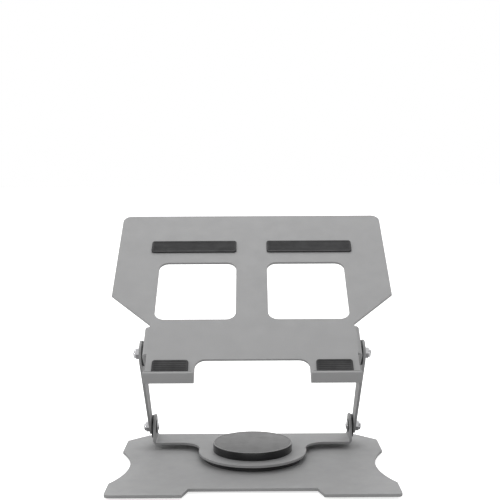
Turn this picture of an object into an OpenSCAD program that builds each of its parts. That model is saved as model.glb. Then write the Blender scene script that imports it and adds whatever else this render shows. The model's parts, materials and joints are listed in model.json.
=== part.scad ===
// Folding laptop stand on a turntable, made of folded sheet metal.
// Millimetres. +X is to the user's right, +Y is away from the user, +Z is up.
// The origin is on the desk, on the axis that the stand swivels about.

/* [Base plate] */
// Width of the base plate
base_w = 269; // [240:1:330]
// Distance from the swivel axis to the front edge
base_front = 115.5; // [105:0.5:145]
// Distance from the swivel axis to the rear edge
base_rear = 82; // [76:1:100]
// Thickness of the base plate
base_t = 3; // [2:0.5:5]
// Radius of the front corners
base_corner_r = 5; // [2:1:12]
// Length cut off each rear corner, along both edges
base_chamfer = 21; // [10:1:30]
// Width of the recess between the front feet, along its inner edge
recess_w = 118; // [80:1:150]
// Depth of the recess between the front feet
recess_depth = 17; // [8:1:25]
// How much further out the recess reaches at the front, on each side
recess_flare = 5.5; // [0:0.5:12]
// Radius of the notch in each side of the base
notch_r = 107; // [85:1:130]
// Depth of the notch in each side of the base
notch_depth = 13.3; // [6:0.1:16]
// Middle of the side notches, forward of the swivel axis
notch_forward = 31; // [20:1:40]
// Diameter of each rubber foot
foot_d = 20; // [12:1:30]
// Thickness of the rubber feet
foot_h = 2; // [2:0.5:5]
// Distance from the middle of a foot to the edges of the base
foot_inset = 17; // [16:1:30]
// Diameter of the foot under the swivel stud
centre_foot_d = 36; // [30:1:50]

/* [Turntable] */
// Gap between the base plate and the bracket
turntable_h = 4.8; // [4:0.1:7]
// Thickness of each bearing race
race_t = 1.6; // [1.2:0.1:2]
// Diameter of the bearing balls
ball_d = 3; // [2.6:0.1:3.6]
// Number of bearing balls
ball_count = 24; // [12:1:36]
// Outer diameter of the dust ring round the bearing
dust_ring_d = 100; // [96:1:106]
// Wall of the dust ring
dust_ring_wall = 2; // [1.2:0.1:3]
// Width of the ball cage
cage_w = 7; // [5:0.5:9]
// Diameter of the swivel stud
stud_d = 8; // [6:1:12]
// Diameter of the flange under the base plate
stud_flange_d = 24; // [18:1:28]
// Thickness of that flange
stud_flange_t = 1.4; // [1:0.1:1.6]
// Diameter of the race screws and rivets
race_pin_d = 3; // [2.5:0.5:4]
// Diameter of their heads
race_head_d = 6; // [5:0.5:8]
// Height of their heads
race_head_h = 1.2; // [0.8:0.1:1.5]

/* [Swivel bracket] */
// Diameter of the round plate that carries the hub
bracket_d = 109; // [107:1:130]
// Distance from the swivel axis to the rear edge of the wings
wing_rear = 60.5; // [54:0.5:66]
// Depth of the wings, front to back
wing_depth = 34; // [28:1:40]
// Radius of the fillets between the wings and the round plate
wing_fillet_r = 21; // [10:1:28]
// Distance between the inner faces of the ears
ear_span = 203; // [165:1:245]
// Height of the lower hinge axis above the bracket plate
ear_pivot_h = 13; // [12:0.5:20]
// Radius of the rounded top of the ears
ear_r = 13; // [10:0.5:15]
// Thickness of the sheet in the bracket, the arms and the tray
sheet_t = 2.5; // [2:0.1:3]
// Inner radius of every bend
bend_r = 2; // [1.5:0.1:3]

/* [Hub] */
// Diameter of the hub cover
hub_d = 80; // [66:1:96]
// Height of the hub cover
hub_h = 8; // [7.5:0.5:12]
// Wall of the hub cover
hub_wall = 1.8; // [1.5:0.1:2.5]
// Thickness of the top of the hub cover, under the inlay
hub_top_t = 1.2; // [1:0.1:2]
// Width of the rim that stands round the inlay
hub_rim_w = 1.6; // [1:0.1:3]
// Thickness of the inlay
inlay_t = 0.8; // [0.5:0.1:1]
// Depth of the inlay's face below the rim
inlay_drop = 0.7; // [0:0.1:0.8]
// Thickness of the washer under the swivel nut
stud_washer_t = 1.2; // [0.8:0.1:1.5]
// Diameter of that washer
stud_washer_d = 22; // [18:1:28]
// Thickness of the swivel nut
stud_nut_h = 3; // [2.5:0.1:3.4]
// Width of the swivel nut across its flats
stud_nut_af = 13; // [12:1:17]

/* [Arms] */
// Distance between the two pivots of an arm
arm_len = 123.5; // [100:0.5:160]
// Angle of the arms above the desk as drawn
arm_angle = 49; // [20:1:80]
// Radius of the lower end of an arm
arm_low_r = 8; // [7:0.5:11]
// Radius of the upper end of an arm
arm_top_r = 12.5; // [9:0.5:13]

/* [Hinge hardware] */
// Diameter of the hinge bolts
bolt_d = 6; // [4:0.5:8]
// Diameter of the domed bolt heads
head_d = 10.5; // [10:0.5:15]
// Height of the bolt heads
head_h = 2.3; // [2:0.1:4]
// Width of the nuts across their flats
nut_af = 10; // [9.5:0.5:13]
// Height of the hexagonal part of the lock nuts
nut_h = 4; // [3:0.5:7]
// Diameter of the locking collar on the nuts
collar_d = 9; // [8.5:0.5:12]
// Height of the locking collar
collar_h = 2; // [1:0.1:3]
// How far the bolts stand out of the nuts
bolt_tip = 0.4; // [0:0.1:4]
// Diameter of the friction washers
friction_washer_d = 24; // [18:1:25]
// Thickness of the friction washers
friction_washer_t = 2; // [1:0.1:3]
// Diameter of the thin washers under the bolt heads
thin_washer_d = 14; // [13:0.5:18]
// Thickness of the thin washers
thin_washer_t = 0.8; // [0.5:0.1:1.5]

/* [Tray] */
// Width of the tray at the back
tray_w = 282; // [230:1:340]
// Length of the tray, from the lips to the rear edge
tray_len = 246; // [210:1:300]
// Slope of the tray as drawn
tray_tilt = 36; // [0:1:45]
// Radius of the rear corners
tray_corner_r = 9; // [4:1:20]
// Distance from the front face of the lips back to the upper hinge axis
tray_overhang = 55.5; // [45:0.5:62]
// Height of the underside of the tray above the upper hinge axis
pivot_drop = 16; // [15:0.5:22]
// Length of each lip, side to side
lip_w = 46; // [30:1:60]
// Height of the lips, measured from the underside of the tray
lip_h = 16.5; // [10:0.5:20]
// Radius of the top corners of the lips
lip_corner_r = 1.5; // [0.5:0.5:4]
// Depth of the recess between the two prongs
prong_depth = 30; // [15:1:32]
// Length of each side flange along the edge of the tray
flange_len = 36; // [30:1:40]
// Radius of the rounded end of the flanges
flange_r = 12.5; // [10:0.5:13]
// Gap between a flange and the wide part of the tray
flange_relief = 3; // [2:0.5:8]
// Width of each vent window
window_w = 80; // [50:1:84]
// Length of each vent window
window_len = 84; // [50:1:90]
// Corner radius of the windows and of the recess
window_r = 10; // [4:1:16]
// Width of the strip between the two windows
spine_w = 32; // [20:1:50]
// Distance from the upper hinge axis back to the windows
window_start = 28; // [22:1:40]
// Thickness of the rubber pads on the tray
pad_t = 1.5; // [1:0.1:3]
// Size of each front pad, side to side
front_pad_w = 34; // [20:1:40]
// Size of each front pad, front to back
front_pad_len = 22; // [12:1:24]
// Size of each rear pad, side to side
rear_pad_w = 90; // [60:1:96]
// Size of each rear pad, front to back
rear_pad_len = 18; // [10:1:24]
// Distance from the windows back to the rear pads
rear_pad_gap = 16; // [8:1:20]
// Thickness of the cushions on the lips
cushion_t = 1.2; // [0.8:0.1:2]
// Margin round the cushions on the lips
cushion_margin = 1; // [0.5:0.5:3]

/* [Hidden] */
$fn = 96;
fit = 0.05;         // radial clearance of a pin in its hole
air = 0.3;          // clearance between pieces that move past each other
past = 1;           // how far a cut runs past the face that it starts from
tuck = 0.01;        // how far a straight edge ends inside the arc that it runs into
track_inset = 6.5;  // from the outer edge of the lower race to the ball track
pin_gap = 1.2;      // between the rivets and the hub's wall or the ball cage
race_inset = 7;     // from the rivets to the inner edge of the races
stud_tip = 0.4;     // how far the swivel stud stands out of its nut

metal_colour = "#929394";
dark_colour = "#202123";
bright_colour = "#c9cacc";

bend_out = bend_r + sheet_t;
base_top = foot_h + base_t;
plate_z = base_top + turntable_h;       // underside of the bracket plate
plate_top = plate_z + sheet_t;
race_gap = turntable_h - 2 * race_t;
ball_z = base_top + turntable_h / 2;
dust_ring_in = dust_ring_d / 2 - dust_ring_wall;
race_r = dust_ring_in - fit;            // lower race, held by the dust ring
upper_race_r = dust_ring_in - air;
track_r = race_r - track_inset;
pin_circle_r = min(hub_d / 2 - hub_wall - race_head_d / 2, track_r - cage_w / 2 - race_pin_d / 2) - pin_gap;
race_in_r = pin_circle_r - race_inset;
hub_top = plate_top + hub_h;
inlay_z = hub_top - inlay_drop - inlay_t;
inlay_r = hub_d / 2 - hub_rim_w;
stud_top = plate_top + stud_washer_t + stud_nut_h + stud_tip;

wing_front = wing_rear - wing_depth;
ear_in = ear_span / 2;
ear_out = ear_in + sheet_t;
bend_x = ear_out - bend_out;            // where the flat sheet ends and the bend starts
low_y = wing_rear - wing_depth / 2;
low_z = plate_top + ear_pivot_h;
top_y = low_y - arm_len * cos(arm_angle);
top_z = low_z + arm_len * sin(arm_angle);

washer_x = ear_out;
arm_x = washer_x + friction_washer_t;
nut_x = arm_x + sheet_t;
bolt_end_x = nut_x + nut_h + collar_h + bolt_tip;

lip_front = -tray_overhang;
lip_in = bend_x - lip_w;
tray_rear = tray_len - tray_overhang;
tray_top = pivot_drop + sheet_t;
flare_start = flange_len / 2 + flange_relief;
rear_pad_u = window_start + window_len + rear_pad_gap;

// ---- helpers ----

// The right half of an outline, followed by its mirror image.
function both_halves(half) =
    concat(half, [for (i = [len(half) - 1 : -1 : 0]) [-half[i][0], half[i][1]]]);

// The point where a line from p touches the circle at c; turn picks one of the two.
function touch(c, r, p, turn) =
    let (d = p - c, a = atan2(d[1], d[0]) + turn * acos(r / norm(d)))
    c + (r - tuck) * [cos(a), sin(a)];

// Puts a right-hand piece on the left side too, when side is -1.
module on_side(side) {
    if (side < 0) mirror([1, 0, 0]) children();
    else children();
}

module on_both_sides() {
    children();
    mirror([1, 0, 0]) children();
}

// The frame of the tray: its origin on the upper hinge axis, +Y up the slope.
module on_tray() {
    translate([0, top_y, top_z]) rotate([tray_tilt, 0, 0]) children();
}

// A flat piece whose outline is drawn in Y and Z, standing at x.
module upright(x, thickness) {
    translate([x, 0, 0]) rotate([90, 0, 90]) linear_extrude(thickness) children();
}

// A bore or a pin along X.
module along_x(x, y, z, r, length) {
    translate([x, y, z]) rotate([0, 90, 0]) cylinder(r = r, h = length);
}

module rounded_rectangle(w, d, r) {
    square([w - 2 * r, d], center = true);
    square([w, d - 2 * r], center = true);
    for (x = [-1, 1], y = [-1, 1])
        translate([x * (w / 2 - r), y * (d / 2 - r)]) circle(r);
}

// A lug that narrows from the line between two points to a round end.
module lug_outline(c, r, from, to) {
    translate(c) circle(r);
    polygon([from, to, touch(c, r, to, 1), touch(c, r, from, -1)]);
}

// Cross-section of a bend: the quarter ring to the right of and below its centre.
module bend_section() {
    intersection() {
        difference() {
            circle(bend_out);
            circle(bend_r);
        }
        translate([0, -bend_out]) square(bend_out);
    }
}

module ring(r_in, r_out, z, h) {
    translate([0, 0, z]) difference() {
        cylinder(r = r_out, h = h);
        translate([0, 0, -past]) cylinder(r = r_in, h = h + 2 * past);
    }
}

module pin_circle() {
    for (a = [45 : 90 : 315]) rotate(a) translate([pin_circle_r, 0, 0]) children();
}

// ---- base ----

module base_outline() {
    half_w = base_w / 2;
    difference() {
        union() {
            polygon(both_halves([
                [half_w - base_corner_r, -base_front],
                [half_w, base_corner_r - base_front],
                [half_w, base_rear - base_chamfer],
                [half_w - base_chamfer, base_rear],
            ]));
            for (s = [-1, 1])
                translate([s * (half_w - base_corner_r), base_corner_r - base_front])
                    circle(base_corner_r);
        }
        polygon(both_halves([
            [recess_w / 2 + recess_flare, -base_front - past],
            [recess_w / 2, recess_depth - base_front],
        ]));
        for (s = [-1, 1])
            translate([s * (half_w - notch_depth + notch_r), -notch_forward]) circle(notch_r);
    }
}

module base_plate() {
    color(metal_colour) difference() {
        translate([0, 0, foot_h]) linear_extrude(base_t) base_outline();
        translate([0, 0, foot_h - past]) {
            cylinder(d = stud_d + 2 * fit, h = base_t + 2 * past);
            pin_circle() cylinder(d = race_pin_d + 2 * fit, h = base_t + 2 * past);
        }
    }
}

module foot(side, y) {
    color(dark_colour) translate([side * (base_w / 2 - foot_inset), y, 0])
        cylinder(d = foot_d, h = foot_h);
}

module foot_front(side) { foot(side, foot_inset - base_front); }
module foot_rear(side) { foot(side, base_rear - base_chamfer); }

module centre_foot() {
    color(dark_colour) difference() {
        cylinder(d = centre_foot_d, h = foot_h);
        translate([0, 0, foot_h - stud_flange_t])
            cylinder(d = stud_flange_d + 2 * fit, h = stud_flange_t + past);
    }
}

module swivel_stud() {
    color(bright_colour) {
        translate([0, 0, foot_h - stud_flange_t]) cylinder(d = stud_flange_d, h = stud_flange_t);
        translate([0, 0, foot_h - stud_flange_t])
            cylinder(d = stud_d, h = stud_top - foot_h + stud_flange_t);
    }
}

module race_rivets() {
    color(bright_colour) pin_circle() {
        translate([0, 0, foot_h - race_head_h]) cylinder(d = race_head_d, h = race_head_h);
        translate([0, 0, foot_h - race_head_h])
            cylinder(d = race_pin_d, h = race_head_h + base_t + race_t);
    }
}

// ---- turntable ----

module race(r_out, z) {
    difference() {
        ring(race_in_r, r_out, z, race_t);
        translate([0, 0, ball_z]) rotate_extrude()
            translate([track_r, 0]) circle(d = ball_d + 2 * fit);
        translate([0, 0, z - past]) pin_circle()
            cylinder(d = race_pin_d + 2 * fit, h = race_t + 2 * past);
    }
}

module lower_race() { color(dark_colour) race(race_r, base_top); }
module upper_race() { color(dark_colour) race(upper_race_r, plate_z - race_t); }

module dust_ring() {
    color(dark_colour) ring(dust_ring_in, dust_ring_d / 2, base_top, turntable_h - air);
}

module ball_circle() {
    for (i = [0 : ball_count - 1]) rotate(i * 360 / ball_count)
        translate([track_r, 0, ball_z]) children();
}

module ball_cage() {
    color(dark_colour) difference() {
        ring(track_r - cage_w / 2, track_r + cage_w / 2, ball_z - race_gap / 4, race_gap / 2);
        ball_circle() translate([0, 0, -past]) cylinder(d = ball_d + 4 * fit, h = 2 * past);
    }
}

module bearing_balls() {
    color(bright_colour) ball_circle() sphere(d = ball_d);
}

module race_screws() {
    color(bright_colour) pin_circle() {
        translate([0, 0, plate_top]) cylinder(d = race_head_d, h = race_head_h);
        translate([0, 0, plate_z - race_t])
            cylinder(d = race_pin_d, h = race_t + sheet_t + race_head_h);
    }
}

// ---- bracket and hub ----

module bracket_outline() {
    fillet_y = wing_front - wing_fillet_r;
    reach = bracket_d / 2 + wing_fillet_r;
    fillet_x = sqrt(reach * reach - fillet_y * fillet_y);
    circle(d = bracket_d);
    translate([-bend_x, wing_front]) square([2 * bend_x, wing_depth]);
    for (s = [-1, 1]) difference() {
        polygon([
            [0, 0],
            [s * fillet_x, fillet_y],
            [s * fillet_x, wing_front + past],
            [0, wing_front + past],
        ]);
        translate([s * fillet_x, fillet_y]) circle(wing_fillet_r);
    }
}

module ear() {
    bend_end = plate_z + bend_out;
    translate([bend_x, wing_rear, bend_end]) rotate([90, 0, 0])
        linear_extrude(wing_depth) bend_section();
    upright(ear_in, sheet_t) difference() {
        lug_outline([low_y, low_z], ear_r, [wing_front, bend_end], [wing_rear, bend_end]);
        translate([wing_front, bend_end - 2 * ear_r]) square([wing_depth, 2 * ear_r]);
    }
}

module swivel_bracket() {
    color(metal_colour) difference() {
        union() {
            translate([0, 0, plate_z]) linear_extrude(sheet_t) bracket_outline();
            on_both_sides() ear();
        }
        translate([0, 0, plate_z - past]) {
            cylinder(d = stud_d + 2 * fit, h = sheet_t + 2 * past);
            pin_circle() cylinder(d = race_pin_d + 2 * fit, h = sheet_t + 2 * past);
        }
        on_both_sides()
            along_x(ear_in - past, low_y, low_z, bolt_d / 2 + fit, sheet_t + 2 * past);
    }
}

module swivel_washer() {
    color(bright_colour) ring(stud_d / 2 + fit, stud_washer_d / 2, plate_top, stud_washer_t);
}

module swivel_nut() {
    color(bright_colour) translate([0, 0, plate_top + stud_washer_t]) difference() {
        cylinder(d = stud_nut_af / cos(30), h = stud_nut_h, $fn = 6);
        translate([0, 0, -past]) cylinder(d = stud_d + 2 * fit, h = stud_nut_h + 2 * past);
    }
}

module hub_cover() {
    color(dark_colour) difference() {
        translate([0, 0, plate_top]) cylinder(d = hub_d, h = hub_h);
        translate([0, 0, plate_top - past])
            cylinder(r = hub_d / 2 - hub_wall, h = inlay_z - hub_top_t - plate_top + past);
        translate([0, 0, inlay_z]) cylinder(r = inlay_r + fit, h = hub_h);
    }
}

module hub_inlay() {
    color(metal_colour) translate([0, 0, inlay_z]) cylinder(r = inlay_r, h = inlay_t);
}

// ---- hinge hardware, drawn for the right side at the hinge axis y, z ----

module bolt(y, z) {
    head_x = ear_in - thin_washer_t;
    dome_r = (head_d * head_d / 4 + head_h * head_h) / (2 * head_h);
    color(bright_colour) {
        along_x(head_x, y, z, bolt_d / 2, bolt_end_x - head_x);
        intersection() {
            along_x(head_x - head_h, y, z, head_d / 2, head_h);
            translate([head_x - head_h + dome_r, y, z]) sphere(dome_r);
        }
    }
}

module hinge_washer(y, z, x, d, thickness) {
    difference() {
        along_x(x, y, z, d / 2, thickness);
        along_x(x - past, y, z, bolt_d / 2 + fit, thickness + 2 * past);
    }
}

module thin_washer(y, z) {
    color(dark_colour)
        hinge_washer(y, z, ear_in - thin_washer_t, thin_washer_d, thin_washer_t);
}

module friction_washer(y, z) {
    color(dark_colour) hinge_washer(y, z, washer_x, friction_washer_d, friction_washer_t);
}

module nut(y, z) {
    color(bright_colour) difference() {
        union() {
            translate([nut_x, y, z]) rotate([0, 90, 0])
                cylinder(d = nut_af / cos(30), h = nut_h, $fn = 6);
            along_x(nut_x, y, z, collar_d / 2, nut_h + collar_h);
        }
        along_x(nut_x - past, y, z, bolt_d / 2 + fit, nut_h + collar_h + 2 * past);
    }
}

// ---- arms ----

// Outline of a link with round ends of different radii at two points.
module link_outline(from, from_r, to, to_r) {
    reach = norm(to - from);
    along = (to - from) / reach;
    across = [-along[1], along[0]];
    lean = (from_r - to_r) / reach;
    spread = sqrt(1 - lean * lean);
    translate(from) circle(from_r);
    translate(to) circle(to_r);
    polygon([
        from + (from_r - tuck) * (lean * along - spread * across),
        to + (to_r - tuck) * (lean * along - spread * across),
        to + (to_r - tuck) * (lean * along + spread * across),
        from + (from_r - tuck) * (lean * along + spread * across),
    ]);
}

module arm() {
    color(metal_colour) difference() {
        upright(arm_x, sheet_t)
            link_outline([low_y, low_z], arm_low_r, [top_y, top_z], arm_top_r);
        along_x(arm_x - past, low_y, low_z, bolt_d / 2 + fit, sheet_t + 2 * past);
        along_x(arm_x - past, top_y, top_z, bolt_d / 2 + fit, sheet_t + 2 * past);
    }
}

// ---- tray, drawn in its own frame ----

module tray_outline() {
    half_w = tray_w / 2;
    bend_line = lip_front + bend_out;
    difference() {
        union() {
            polygon(both_halves([
                [bend_x, bend_line],
                [bend_x, flare_start],
                [half_w, flare_start + half_w - bend_x],
                [half_w, tray_rear - tray_corner_r],
                [half_w - tray_corner_r, tray_rear],
            ]));
            for (s = [-1, 1])
                translate([s * (half_w - tray_corner_r), tray_rear - tray_corner_r])
                    circle(tray_corner_r);
        }
        translate([0, lip_front]) rounded_rectangle(2 * lip_in, 2 * prong_depth, window_r);
        for (s = [-1, 1])
            translate([s * (spine_w + window_w) / 2, window_start + window_len / 2])
                rounded_rectangle(window_w, window_len, window_r);
    }
}

// A lip, folded up at the front of a prong.
module lip() {
    upright(lip_in, lip_w)
        translate([lip_front + bend_out, pivot_drop + bend_out]) mirror([1, 0]) bend_section();
    translate([lip_in, lip_front + sheet_t, pivot_drop]) rotate([90, 0, 0])
        linear_extrude(sheet_t) {
            translate([0, bend_out]) square([lip_w, lip_h - bend_out - lip_corner_r]);
            translate([lip_corner_r, bend_out])
                square([lip_w - 2 * lip_corner_r, lip_h - bend_out]);
            for (x = [lip_corner_r, lip_w - lip_corner_r])
                translate([x, lip_h - lip_corner_r]) circle(lip_corner_r);
        }
}

// A flange, folded down at the side, with the bore of the upper hinge.
module flange() {
    translate([bend_x, flange_len / 2, tray_top - bend_out]) mirror([0, 0, 1]) rotate([90, 0, 0])
        linear_extrude(flange_len) bend_section();
    upright(ear_in, sheet_t)
        lug_outline([0, 0], flange_r,
            [flange_len / 2, tray_top - bend_out], [-flange_len / 2, tray_top - bend_out]);
}

module tray_plate() {
    color(metal_colour) on_tray() difference() {
        union() {
            translate([0, 0, pivot_drop]) linear_extrude(sheet_t) tray_outline();
            on_both_sides() {
                lip();
                flange();
            }
        }
        on_both_sides() along_x(ear_in - past, 0, 0, bolt_d / 2 + fit, sheet_t + 2 * past);
    }
}

module pad(x, u, w, d) {
    color(dark_colour) on_tray() translate([x, u, tray_top])
        linear_extrude(pad_t) rounded_rectangle(w, d, 3);
}

module front_pad() {
    pad(lip_in + lip_w / 2, lip_front + bend_out + 2 + front_pad_len / 2,
        front_pad_w, front_pad_len);
}

module rear_pad() {
    pad((spine_w + rear_pad_w) / 2, rear_pad_u + rear_pad_len / 2, rear_pad_w, rear_pad_len);
}

module lip_cushion() {
    color(dark_colour) on_tray()
        translate([lip_in + cushion_margin, lip_front + sheet_t, pivot_drop + bend_out])
            cube([lip_w - 2 * cushion_margin, cushion_t, lip_h - bend_out - cushion_margin]);
}

// ---- assembly ----

base_plate();
foot_front(-1);  // foot_front_left
foot_front(1);  // foot_front_right
foot_rear(-1);  // foot_rear_left
foot_rear(1);  // foot_rear_right
centre_foot();
swivel_stud();
race_rivets();
lower_race();
dust_ring();
ball_cage();
bearing_balls();
upper_race();
race_screws();
swivel_bracket();
swivel_washer();
swivel_nut();
hub_cover();
hub_inlay();
on_side(-1) bolt(low_y, low_z);  // lower_bolt_left
on_side(1) bolt(low_y, low_z);  // lower_bolt_right
on_side(-1) thin_washer(low_y, low_z);  // lower_thin_washer_left
on_side(1) thin_washer(low_y, low_z);  // lower_thin_washer_right
on_side(-1) friction_washer(low_y, low_z);  // lower_friction_washer_left
on_side(1) friction_washer(low_y, low_z);  // lower_friction_washer_right
on_side(-1) nut(low_y, low_z);  // lower_nut_left
on_side(1) nut(low_y, low_z);  // lower_nut_right
on_side(-1) arm();  // left_arm
on_side(1) arm();  // right_arm
on_side(-1) bolt(top_y, top_z);  // upper_bolt_left
on_side(1) bolt(top_y, top_z);  // upper_bolt_right
on_side(-1) thin_washer(top_y, top_z);  // upper_thin_washer_left
on_side(1) thin_washer(top_y, top_z);  // upper_thin_washer_right
on_side(-1) friction_washer(top_y, top_z);  // upper_friction_washer_left
on_side(1) friction_washer(top_y, top_z);  // upper_friction_washer_right
on_side(-1) nut(top_y, top_z);  // upper_nut_left
on_side(1) nut(top_y, top_z);  // upper_nut_right
tray_plate();
on_side(-1) front_pad();  // front_pad_left
on_side(1) front_pad();  // front_pad_right
on_side(-1) rear_pad();  // rear_pad_left
on_side(1) rear_pad();  // rear_pad_right
on_side(-1) lip_cushion();  // lip_cushion_left
on_side(1) lip_cushion();  // lip_cushion_right
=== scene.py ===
# %% [markdown]
# # A folding laptop stand in sheet metal
# The stand is a flat base, a turntable with a bracket on it, two arms and a sloping tray. All of it
# is folded sheet, powder coated in grey, and held together by bolts in friction washers.
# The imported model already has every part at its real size, so this script starts from it. It gives
# the sheet metal its soft edges and its coating, and makes a finer mesh for the turned, moulded and
# threaded parts.

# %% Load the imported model
import json
import math

import bmesh
import bpy
from mathutils import Euler, Matrix, Vector


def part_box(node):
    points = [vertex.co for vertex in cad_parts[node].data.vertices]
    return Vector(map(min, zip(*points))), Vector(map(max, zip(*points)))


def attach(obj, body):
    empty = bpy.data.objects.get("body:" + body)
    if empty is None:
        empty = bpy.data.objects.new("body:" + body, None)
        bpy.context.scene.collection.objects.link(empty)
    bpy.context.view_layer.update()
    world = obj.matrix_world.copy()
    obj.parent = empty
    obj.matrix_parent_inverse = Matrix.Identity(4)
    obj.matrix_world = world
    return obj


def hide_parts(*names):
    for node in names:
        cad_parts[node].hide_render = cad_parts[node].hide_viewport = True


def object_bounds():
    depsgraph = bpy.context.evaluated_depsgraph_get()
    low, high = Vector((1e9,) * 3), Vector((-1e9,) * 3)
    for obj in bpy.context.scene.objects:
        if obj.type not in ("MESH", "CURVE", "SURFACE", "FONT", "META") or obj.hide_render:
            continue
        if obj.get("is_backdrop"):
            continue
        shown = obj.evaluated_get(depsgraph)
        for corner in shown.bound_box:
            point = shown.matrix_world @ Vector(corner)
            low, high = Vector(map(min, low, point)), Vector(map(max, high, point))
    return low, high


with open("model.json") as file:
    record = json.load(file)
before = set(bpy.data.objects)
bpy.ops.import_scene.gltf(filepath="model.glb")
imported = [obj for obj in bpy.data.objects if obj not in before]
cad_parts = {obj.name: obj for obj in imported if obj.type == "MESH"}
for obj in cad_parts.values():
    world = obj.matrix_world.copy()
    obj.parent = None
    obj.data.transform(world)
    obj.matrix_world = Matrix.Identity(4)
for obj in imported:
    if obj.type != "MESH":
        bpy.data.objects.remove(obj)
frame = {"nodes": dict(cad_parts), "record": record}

MM = 0.001
scene = bpy.context.scene
nodes = frame["nodes"]
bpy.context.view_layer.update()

# %% [markdown]
# ## Camera
# A stand is looked at from a chair: in front of it, a little above it. A long lens from nearly a metre
# away keeps the upright parts upright. The other choice, a short lens close by, would bend them.

# %% Place the camera
LENS = 67.7
CAMERA_PLACE = Vector((-0.0016, -0.9374, 0.2869))
LOOK_DOWN = math.radians(4.35)
ROLL = math.radians(0.3)

camera_data = bpy.data.cameras.new("camera")
camera_data.sensor_width = 36
camera_data.lens = LENS
camera_data.clip_start = 0.01
camera = bpy.data.objects.new("camera", camera_data)
camera.location = CAMERA_PLACE
aim = Euler((math.pi / 2 - LOOK_DOWN, 0, 0)).to_matrix() @ Matrix.Rotation(-ROLL, 3, "Z")
camera.rotation_euler = aim.to_euler()
scene.collection.objects.link(camera)
scene.camera = camera
print("camera at", [round(v, 3) for v in CAMERA_PLACE], "lens", LENS)

# %% [markdown]
# ## Studio
# Matt grey metal shows its folds only if the light differs from side to side, and bright nuts need
# something dark to mirror. So the room is bright overhead and at the wall behind the stand, and dark
# behind the camera. The black hub needs that wall too: seen at a low angle, its top mirrors it and
# looks grey. One large soft lamp above gives the tops of the parts their even tone, a weaker one from
# the left separates the two sides of each fold, and two narrow strips beside the camera put upright
# highlights on the round parts.

# %% Room light
# Brightness by direction; +Y points at the wall behind the stand.
ROOM_TOP = 0.95
ROOM_WALL = 1.35
ROOM_SIDE = 0.55
ROOM_BEHIND_CAMERA = 0.22

world = bpy.data.worlds.new("room")
world.use_nodes = True
scene.world = world
room = world.node_tree


def fade(value, start, end, before, after):
    """A smooth step in brightness: before until the value reaches start, and after from end on."""
    node = room.nodes.new("ShaderNodeMapRange")
    node.interpolation_type = "SMOOTHSTEP"
    room.links.new(value, node.inputs["Value"])
    node.inputs["From Min"].default_value = start
    node.inputs["From Max"].default_value = end
    node.inputs["To Max"].default_value = after
    if isinstance(before, float):
        node.inputs["To Min"].default_value = before
    else:
        room.links.new(before, node.inputs["To Min"])
    return node.outputs["Result"]


parts = room.nodes.new("ShaderNodeSeparateXYZ")
room.links.new(room.nodes.new("ShaderNodeTexCoord").outputs["Generated"], parts.inputs["Vector"])
front_half = fade(parts.outputs["Y"], -0.9, -0.15, ROOM_BEHIND_CAMERA, ROOM_SIDE)
all_round = fade(parts.outputs["Y"], 0.1, 0.75, front_half, ROOM_WALL)
whole_room = fade(parts.outputs["Z"], 0.25, 0.9, all_round, ROOM_TOP)

# %% [markdown]
# The camera itself sees plain white, so the stand is on a clean backdrop whatever the room does.

# %% Backdrop
seen = room.nodes.new("ShaderNodeMix")
seen.inputs["B"].default_value = 1.0
room.links.new(room.nodes.new("ShaderNodeLightPath").outputs["Is Camera Ray"], seen.inputs["Factor"])
room.links.new(whole_room, seen.inputs["A"])
room.links.new(seen.outputs["Result"], room.nodes["Background"].inputs["Strength"])
room.nodes["Background"].inputs["Color"].default_value = (1, 1, 1, 1)
scene.view_settings.view_transform = "Standard"
print("room from", ROOM_BEHIND_CAMERA, "behind the camera to", ROOM_WALL, "at the wall")

# %% Lamps
LAMP_AIM = Vector((0, 0, 0.1))


def soft_lamp(name, place, size, power, tall=None):
    """A soft panel that shines at the middle of the stand; tall makes it a strip."""
    data = bpy.data.lights.new(name, "AREA")
    data.shape = "RECTANGLE"
    data.size = size
    data.size_y = tall or size
    data.energy = power
    lamp = bpy.data.objects.new(name, data)
    lamp.location = place
    lamp.rotation_euler = (LAMP_AIM - Vector(place)).to_track_quat("-Z", "Y").to_euler()
    scene.collection.objects.link(lamp)


soft_lamp("lamp_above", (0.0, 0.5, 1.45), 1.2, 9.5)
soft_lamp("lamp_left", (-1.5, -0.2, 0.9), 0.7, 6)
soft_lamp("strip_left", (-0.42, -1.25, 0.3), 0.05, 1.6, tall=0.9)
soft_lamp("strip_right", (0.28, -1.35, 0.3), 0.03, 1.4, tall=0.9)

# %% [markdown]
# ## Helpers for materials
# Every finish here is a Principled shader with a few procedural effects in front of it. An effect
# that several finishes share is a node group, built once with named inputs. The position comes in
# from the material, in the object's own coordinates, so a pattern stays put when the stand moves.

# %% Start a group, start a material
def effect_group(name, inputs, outputs):
    """An empty shader group. inputs and outputs are (name, type, default) and (name, type)."""
    group = bpy.data.node_groups.new(name, "ShaderNodeTree")
    for label, kind, default in inputs:
        socket = group.interface.new_socket(label, in_out="INPUT", socket_type=kind)
        if default is not None:
            socket.default_value = default
    for label, kind in outputs:
        group.interface.new_socket(label, in_out="OUTPUT", socket_type=kind)
    return group, group.nodes.new("NodeGroupInput"), group.nodes.new("NodeGroupOutput")


def maths(tree, operation, first, second=None):
    """A Math node; each operand is a socket or a number."""
    node = tree.nodes.new("ShaderNodeMath")
    node.operation = operation
    for place, operand in enumerate((first, second)):
        if isinstance(operand, (int, float)):
            node.inputs[place].default_value = operand
        elif operand is not None:
            tree.links.new(operand, node.inputs[place])
    return node.outputs["Value"]


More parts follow.
